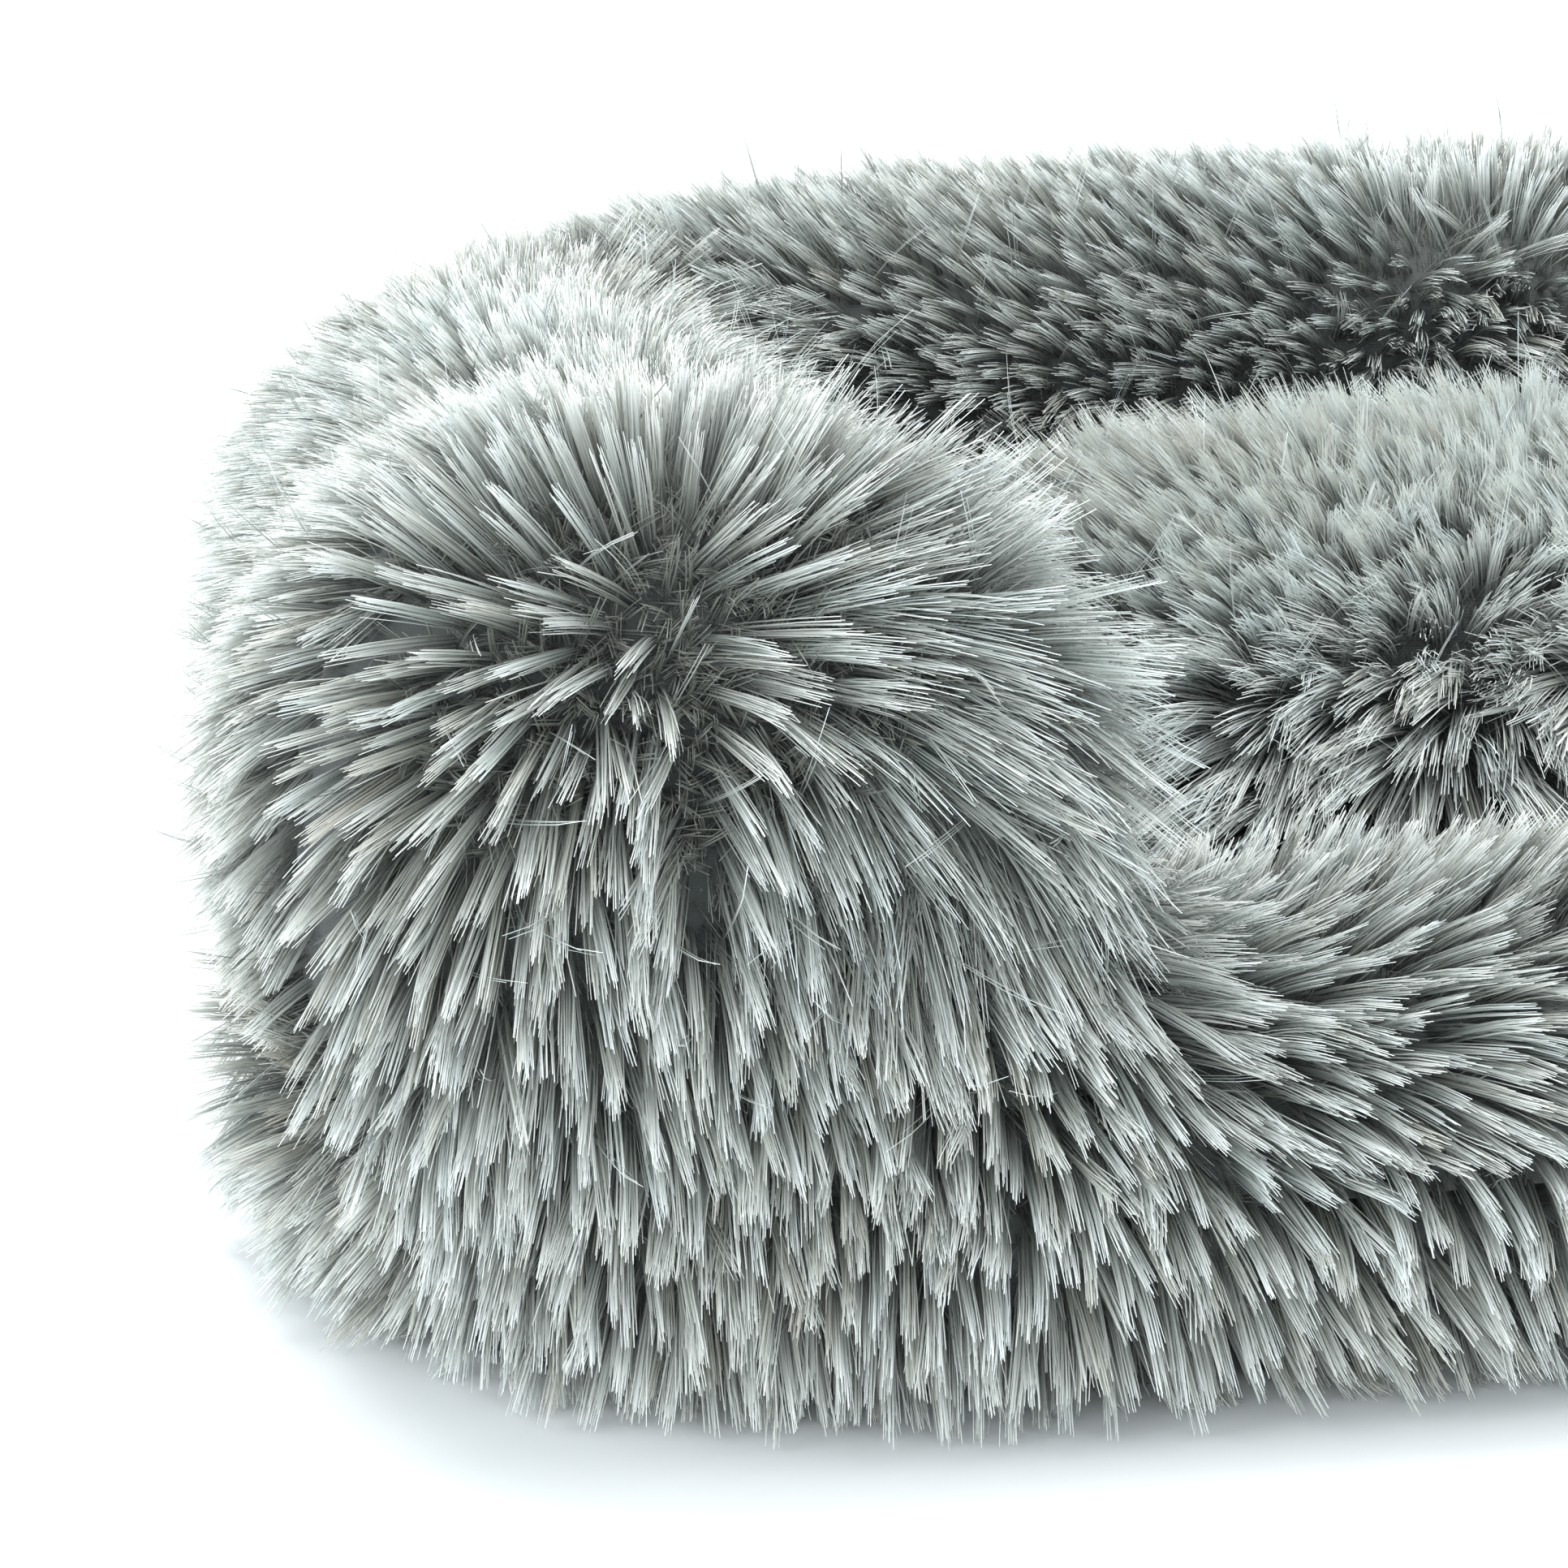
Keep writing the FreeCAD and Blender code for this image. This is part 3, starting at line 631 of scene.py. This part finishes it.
def pile_material(name, shades):
    """Glossy synthetic pile: dark green-grey at the roots, silver at the tips, each lock its own tone; the
    dark roots are painted shade of the dense pile.
    """
    material, nodes, links, shader = node_material(name, 0.42, Specular_IOR_Level=0.5, Sheen_Weight=0.15,
                                                   Sheen_Roughness=0.4)
    place = nodes.new("ShaderNodeUVMap")
    place.uv_map = "lock"
    split = nodes.new("ShaderNodeSeparateXYZ")
    links.new(place.outputs["UV"], split.inputs["Vector"])
    # ramp along each blade from root to tip: its dark roots are painted shade deep in the pile
    height = ramp(nodes, shades)
    links.new(split.outputs["Y"], height.inputs["Fac"])
    tone = ramp(nodes, ((0.0, (0.52, 0.46, 0.39)), (0.35, (0.84, 0.83, 0.79)),
                        (0.65, (0.95, 0.96, 0.95)), (1.0, (0.93, 1.0, 1.0))))
    links.new(split.outputs["X"], tone.inputs["Fac"])
    colour = mixed(nodes, links, "MULTIPLY", 1.0, height.outputs["Color"], tone.outputs["Color"])
    links.new(colour, shader.inputs["Base Color"])
    return material


def woven_material(name, dark, light, threads_per_mm, roughness, strength, speckle=0.35):
    """Plain-woven or knitted cloth: crossing threads in relief, with slight unevenness of dye."""
    material, nodes, links, shader = node_material(name, roughness, Sheen_Weight=0.3)
    where = nodes.new("ShaderNodeTexCoord")
    waves_out = []
    for axis in ("X", "Y", "Z"):
        wave = nodes.new("ShaderNodeTexWave")
        wave.bands_direction = axis
        wave.inputs["Scale"].default_value = threads_per_mm * 1000.0 / 6.2832 * 2.0
        wave.inputs["Distortion"].default_value = 0.8
        links.new(where.outputs["Object"], wave.inputs["Vector"])
        waves_out.append(wave.outputs["Fac"])
    noise = nodes.new("ShaderNodeTexNoise")
    noise.inputs["Scale"].default_value = 90.0
    noise.inputs["Detail"].default_value = 6.0
    links.new(where.outputs["Object"], noise.inputs["Vector"])
    first = nodes.new("ShaderNodeMath")
    first.operation = "MULTIPLY"
    links.new(waves_out[0], first.inputs[0])
    links.new(waves_out[1], first.inputs[1])
    both = nodes.new("ShaderNodeMath")
    both.operation = "MAXIMUM"
    links.new(first.outputs[0], both.inputs[0])
    links.new(waves_out[2], both.inputs[1])
    shade = ramp(nodes, ((0.05, dark), (0.95, light)))
    blend = nodes.new("ShaderNodeMath")
    blend.operation = "MULTIPLY_ADD"
    blend.inputs[1].default_value = speckle
    links.new(noise.outputs["Fac"], blend.inputs[0])
    links.new(both.outputs[0], blend.inputs[2])
    links.new(blend.outputs[0], shade.inputs["Fac"])
    links.new(shade.outputs["Color"], shader.inputs["Base Color"])
    bump = nodes.new("ShaderNodeBump")
    bump.inputs["Strength"].default_value = strength
    bump.inputs["Distance"].default_value = 0.0003
    links.new(both.outputs[0], bump.inputs["Height"])
    links.new(bump.outputs["Normal"], shader.inputs["Normal"])
    return material


def grained_material(name, dark, light, scale, roughness, strength, metallic=0.0):
    """Moulded rubber or plastic, or plated metal: fine mottling and grain, worn unevenly."""
    material, nodes, links, shader = node_material(name, roughness[0], Metallic=metallic)
    where = nodes.new("ShaderNodeTexCoord")
    noise = nodes.new("ShaderNodeTexNoise")
    noise.inputs["Scale"].default_value = scale
    noise.inputs["Detail"].default_value = 8.0
    links.new(where.outputs["Object"], noise.inputs["Vector"])
    shade = ramp(nodes, ((0.3, dark), (0.7, light)))
    links.new(noise.outputs["Fac"], shade.inputs["Fac"])
    links.new(shade.outputs["Color"], shader.inputs["Base Color"])
    worn = nodes.new("ShaderNodeMapRange")
    worn.inputs["To Min"].default_value = roughness[0]
    worn.inputs["To Max"].default_value = roughness[1]
    links.new(noise.outputs["Fac"], worn.inputs["Value"])
    links.new(worn.outputs["Result"], shader.inputs["Roughness"])
    bump = nodes.new("ShaderNodeBump")
    bump.inputs["Strength"].default_value = strength
    bump.inputs["Distance"].default_value = 0.0002
    links.new(noise.outputs["Fac"], bump.inputs["Height"])
    links.new(bump.outputs["Normal"], shader.inputs["Normal"])
    return material


def finish_nodes(material, *names):
    """Gives CAD nodes that keep their own shape a better material."""
    for name in names:
        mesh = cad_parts[name].data
        mesh.materials.clear()
        mesh.materials.append(material)


# ---------------------------------------------------------------- build
forms = make_forms()
stuff(forms)

# the bed's pile: near black at the roots to light grey at the tips, the dark roots painted shade of the dense
# pile
pile = pile_material("plush_pile", ((0.0, (0.04, 0.05, 0.048)), (0.28, (0.20, 0.215, 0.20)),
                                    (0.62, (0.43, 0.45, 0.43)), (0.93, (0.84, 0.87, 0.86))))
# a lighter copy of the pile for the seat: painted light on its upturned top
seat_pile = pile_material("seat_pile_painted_light", ((0.0, (0.10, 0.12, 0.115)), (0.25, (0.36, 0.38, 0.365)),
                                          (0.60, (0.62, 0.64, 0.63)), (0.93, (0.87, 0.90, 0.89))))
# the pile's backing cloth, kept near black: partly its own colour, partly painted shade deep in the pile
# between the locks
backing = woven_material("pile_backing", (0.02, 0.026, 0.025), (0.06, 0.068, 0.065), 2.6, 0.9, 0.4, 0.8)
STANDS_FOR = {
    "left_arm": ("left_arm_cover", "left_arm_fill"),
    "right_arm": ("right_arm_cover", "right_arm_fill"),
    "left_arm_end": ("left_arm_end_panel",),
    "right_arm_end": ("right_arm_end_panel",),
    "back_bolster": ("back_bolster_cover", "back_bolster_fill"),
    "front_lip": ("front_lip_cover", "front_lip_fill"),
    "base": ("base_cover", "base_core"),
    "seat_cushion": ("seat_cushion_cover", "seat_cushion_liner", "seat_cushion_fill"),
}
# spacing and blade width in millimetres, blades in a lock, segments in a blade
DENSITIES = {"near": (4.5, 0.31, 22, 3), "far": (6.0, 0.85, 9, 2)}
PIECE_FACES = 190000


def add_pile(name, body, grown):
    piece = pile_object(name, *grown, seat_pile if body == "seat_cushion" else pile)
    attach(piece, body)


def seen_close(roots, normals):
    """The front left part of the bed, which gets finer pile."""
    return (roots[:, 0] < -95.0 + 0.36 * (roots[:, 1] - FRONT)) & (normals[:, 1] < 0.75)


def even(count, value):
    return np.full(count, value)


for name, form in forms.items():
    on_seat = name == "seat_cushion"
    body = "seat_cushion" if on_seat else "bed"
    form.data.materials.append(backing)
    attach(form, body)
    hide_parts(*STANDS_FOR[name])
    comb = comb_seat if on_seat else comb_bed
    for part, (spacing, width, blades, segments) in DENSITIES.items():
        spacing *= 0.9 if on_seat else 1.0
        roots, normals = spread_roots(form, spacing)
        close = seen_close(roots, normals)
        keep = covered(name, roots, normals) & (close if part == "near" else ~close)
        if not keep.any():
            continue
        roots, normals = roots[keep], normals[keep]
        if not on_seat:
            normals = bed_normals(roots)
        lie, rise, length, loose, ragged, painted_shading = comb(roots)
        # tone varies at random from lock to lock; the painted shading lowers it in the bed's crease as painted
        # shade and raises it a little on the seat as painted light
        tone = 0.58 + 0.16 * waves(roots, 140.0, 21) + rng.normal(0.0, 0.13, len(roots)) - painted_shading
        tone = np.clip(tone, 0.02, 0.98)
        pieces = math.ceil(len(roots) * 2 * segments * blades / PIECE_FACES)
        order = np.argsort(roots[:, 0] + roots[:, 1] * 0.3)
        for number, rows in enumerate(np.array_split(order, pieces)):
            # on the seat the locks' light tips reach further down: painted light on its upturned top
            grown = grow_locks(roots[rows], normals[rows], lie[rows], rise[rows], length[rows], tone[rows],
                               0.42 * spacing * loose[rows], ragged[rows], blades, segments, width,
                               1.35 if on_seat else 1.0)
            add_pile(f"{name}_pile_{part}_{number + 1}", body, grown)

    # short soft hairs between the locks, where they are seen close; kept dark, as painted shade in the gaps
    # between the locks
    roots, normals = spread_roots(form, 4.6)
    keep = covered(name, roots, normals) & seen_close(roots, normals)
    if keep.any():
        roots = roots[keep]
        normals = normals[keep] if on_seat else bed_normals(roots)
        count = len(roots)
        lie, rise = comb(roots)[:2]
        grown = grow_locks(roots, normals, lie + 0.5 * rng.normal(size=(count, 3)), rise + 8.0,
                           rng.uniform(9.0, 15.0, count), rng.uniform(0.25, 0.6, count), even(count, 3.4),
                           even(count, 0.5), 7, 2, 0.26, 0.48)
        add_pile(name + "_underfur", body, grown)

for name in ("left_arm", "right_arm", "left_arm_end", "right_arm_end", "back_bolster", "seat_cushion"):
    roots, normals = spread_roots(forms[name], 15.0)
    keep = covered(name, roots, normals) & (roots[:, 2] > 0.5 * (BASE_TOP + LIP_TOP))
    roots, normals = roots[keep], normals[keep]
    count = len(roots)
    grown = grow_locks(roots, normals, rng.normal(size=(count, 3)), rng.uniform(35.0, 70.0, count),
                       rng.uniform(26.0, 35.0, count), even(count, 0.8), even(count, 1.0), even(count, 0.3),
                       3, 4, 0.2)
    add_pile(name + "_flyaway", "seat_cushion" if name == "seat_cushion" else "bed", grown)

# dense short hairs round the whorl where an arm's end parts, kept dark, as painted shade in the parting
for name in ("left_arm_end", "right_arm_end"):
    roots, normals = spread_roots(forms[name], 2.3)
    close = (np.linalg.norm(roots - mirrored_whorl(roots), axis=1) < 58.0) & covered(name, roots, normals)
    roots = roots[close]
    count = len(roots)
    grown = grow_locks(roots, bed_normals(roots), rng.normal(size=(count, 3)), rng.uniform(15.0, 60.0, count),
                       rng.uniform(7.0, 14.0, count), even(count, 0.3), even(count, 1.2), even(count, 0.3),
                       5, 3, 0.3, 0.42)
    add_pile(name + "_whorl", "bed", grown)


def coil_strip(length_low, length_high, centre, half_width, half_depth):
    """One nylon coil: a fine thread wound in an oval along x. Returns its points and quads."""
    pitch, thread, per_turn, sides = 1.3, 0.26, 9, 4
    turns = int((length_high - length_low) / pitch)
    t = np.arange(turns * per_turn + 1) / per_turn
    swing = 2.0 * math.pi * t
    line = np.stack([length_low + pitch * t, centre[0] + half_depth * np.sin(swing),
                     centre[1] + half_width * np.cos(swing)], axis=1)
    ahead = unit(np.gradient(line, axis=0))
    outward = np.stack([np.zeros_like(t), np.sin(swing), np.cos(swing)], axis=1)
    outward = unit(outward - ahead * np.einsum("nd,nd->n", outward, ahead)[:, None])
    third = np.cross(ahead, outward)
    turn = 2.0 * math.pi * np.arange(sides) / sides
    rings = line[:, None] + thread * (np.cos(turn)[None, :, None] * outward[:, None]
                                      + np.sin(turn)[None, :, None] * third[:, None])
    i, j = np.meshgrid(np.arange(len(t) - 1), np.arange(sides), indexing="ij")
    k = (j + 1) % sides
    quads = np.stack([i * sides + j, i * sides + k, (i + 1) * sides + k, (i + 1) * sides + j], axis=-1)
    ends = np.array([[0, 3, 2, 1], [sides * (len(t) - 1) + n for n in range(4)]])
    return rings.reshape(-1, 3), np.concatenate([quads.reshape(-1, 4), ends])


def make_coils(node, body, material):
    """Two coils that mesh edge to edge, in place of the plain strips."""
    low, high = node_box(node)
    middle = 0.5 * (low + high)
    quarter = 0.25 * (high[2] - low[2])
    points, quads = [], []
    for sign in (-1.0, 1.0):
        start = low[0] + 0.4 + 0.65 * (sign > 0.0)
        strip = coil_strip(start, high[0] - 1.0, (middle[1], middle[2] + sign * quarter),
                           quarter - 0.1, 0.5 * (high[1] - low[1]) - 0.26)
        quads.append(strip[1] + sum(len(p) for p in points))
        points.append(strip[0])
    coils = mesh_object(node + "_wound", np.concatenate(points), np.concatenate(quads))
    coils.data.materials.append(material)
    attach(coils, body)
    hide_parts(node)


nylon = grained_material("zip_coil_nylon", (0.16, 0.17, 0.17), (0.26, 0.28, 0.28), 1500.0, (0.3, 0.5), 0.2)
make_coils("base_zip_coils", "bed", nylon)
make_coils("cushion_zip_coils", "seat_cushion", nylon)
weave = woven_material("underside_weave", (0.05, 0.055, 0.06), (0.16, 0.17, 0.18), 0.8, 0.85, 0.6)
finish_nodes(weave, "bottom_panel")
rubber = grained_material("grip_rubber_dots", (0.03, 0.03, 0.032), (0.06, 0.06, 0.062), 900.0,
                          (0.55, 0.8), 0.4)
finish_nodes(rubber, "grip_dots")
satin = woven_material("label_satin", (0.62, 0.62, 0.60), (0.82, 0.82, 0.80), 2.2, 0.45, 0.25)
finish_nodes(satin, "care_label")
tape = woven_material("zip_tape_weave", (0.12, 0.13, 0.13), (0.27, 0.29, 0.29), 1.6, 0.8, 0.7)
finish_nodes(tape, "base_zip_tapes", "cushion_zip_tapes")
nickel = grained_material("zip_nickel", (0.42, 0.43, 0.44), (0.58, 0.59, 0.60), 1800.0,
                          (0.22, 0.42), 0.15, 1.0)
finish_nodes(nickel, "base_zip_stops", "cushion_zip_stops", "base_zip_slider", "cushion_zip_slider",
             "base_zip_pull", "cushion_zip_pull")


# ---------------------------------------------------------------- stage, light and camera
def make_stage():
    """A floor that curves up into a far wall all round, the same from every side, glowing far from the bed."""
    profile = [(0.0, 0.0), (4.0, 0.0)]
    quarter = np.linspace(0.0, 0.5 * math.pi, 12)
    profile += [(6.0 + 2.5 * math.sin(a), 2.5 - 2.5 * math.cos(a)) for a in quarter]
    profile.append((8.5, 7.0))
    around = 96
    turns = np.linspace(0, 2 * math.pi, around, endpoint=False)
    points = [(r * math.cos(t), r * math.sin(t), z) for t in turns for r, z in profile[1:]]
    points.append((0.0, 0.0, 0.0))
    rows = len(profile) - 1
    faces = []
    for i in range(around):
        j = (i + 1) % around
        faces.append((len(points) - 1, i * rows, j * rows))
        for k in range(rows - 1):
            faces.append((i * rows + k, i * rows + k + 1, j * rows + k + 1, j * rows + k))
    mesh = bpy.data.meshes.new("stage")
    mesh.from_pydata(points, [], faces)
    mesh.polygons.foreach_set("use_smooth", [True] * len(mesh.polygons))
    stage = bpy.data.objects.new("stage", mesh)
    bpy.context.scene.collection.objects.link(stage)
    material, nodes, links, shader = node_material("pale_ground", 0.9, Base_Color=(0.90, 0.925, 0.935, 1.0),
                                                   Specular_IOR_Level=0.1,
                                                   Emission_Color=(0.95, 0.98, 1.0, 1.0))
    mesh.materials.append(material)
    where = nodes.new("ShaderNodeTexCoord")
    distance = nodes.new("ShaderNodeVectorMath")
    distance.operation = "LENGTH"
    links.new(where.outputs["Object"], distance.inputs[0])
    glow = nodes.new("ShaderNodeMapRange")
    glow.inputs["From Min"].default_value = 0.6
    glow.inputs["From Max"].default_value = 2.2
    glow.inputs["To Max"].default_value = 0.6
    links.new(distance.outputs["Value"], glow.inputs["Value"])
    links.new(glow.outputs["Result"], shader.inputs["Emission Strength"])


def area_light(name, location, target, size, power, colour):
    data = bpy.data.lights.new(name, "AREA")
    data.shape = "DISK"
    data.size = size
    data.energy = power
    data.color = colour
    light = bpy.data.objects.new(name, data)
    light.location = location
    light.rotation_euler = (Vector(target) - Vector(location)).to_track_quat("-Z", "Y").to_euler()
    bpy.context.scene.collection.objects.link(light)


make_stage()
area_light("key", (-0.7, 0.7, 2.4), (0.0, 0.0, 0.1), 1.4, 49.0, (1.0, 1.0, 0.985))
area_light("left_fill", (-2.4, -0.4, 1.3), (-0.2, 0.0, 0.1), 1.6, 31.0, (0.93, 0.98, 1.0))
area_light("front_fill", (-1.5, -2.3, 1.8), (-0.1, -0.1, 0.1), 1.6, 5.0, (1.0, 0.99, 0.96))
area_light("overhead", (0.5, -0.2, 2.5), (0.1, -0.1, 0.1), 1.4, 26.0, (1.0, 1.0, 1.0))

world = bpy.data.worlds.new("studio")
bpy.context.scene.world = world
world.use_nodes = True
world.node_tree.nodes["Background"].inputs["Color"].default_value = (0.93, 0.97, 1.0, 1.0)
world.node_tree.nodes["Background"].inputs["Strength"].default_value = 0.42
bpy.context.scene.view_settings.view_transform = "Standard"

camera = bpy.data.objects.new("camera", bpy.data.cameras.new("camera"))
camera.data.sensor_width = 36.0
camera.data.lens = 106.5
camera.location = (-0.397, -1.049, 0.430)
camera.rotation_euler = (math.radians(90.0 - 19.89), 0.0, math.radians(-10.1))
bpy.context.scene.collection.objects.link(camera)
bpy.context.scene.camera = camera
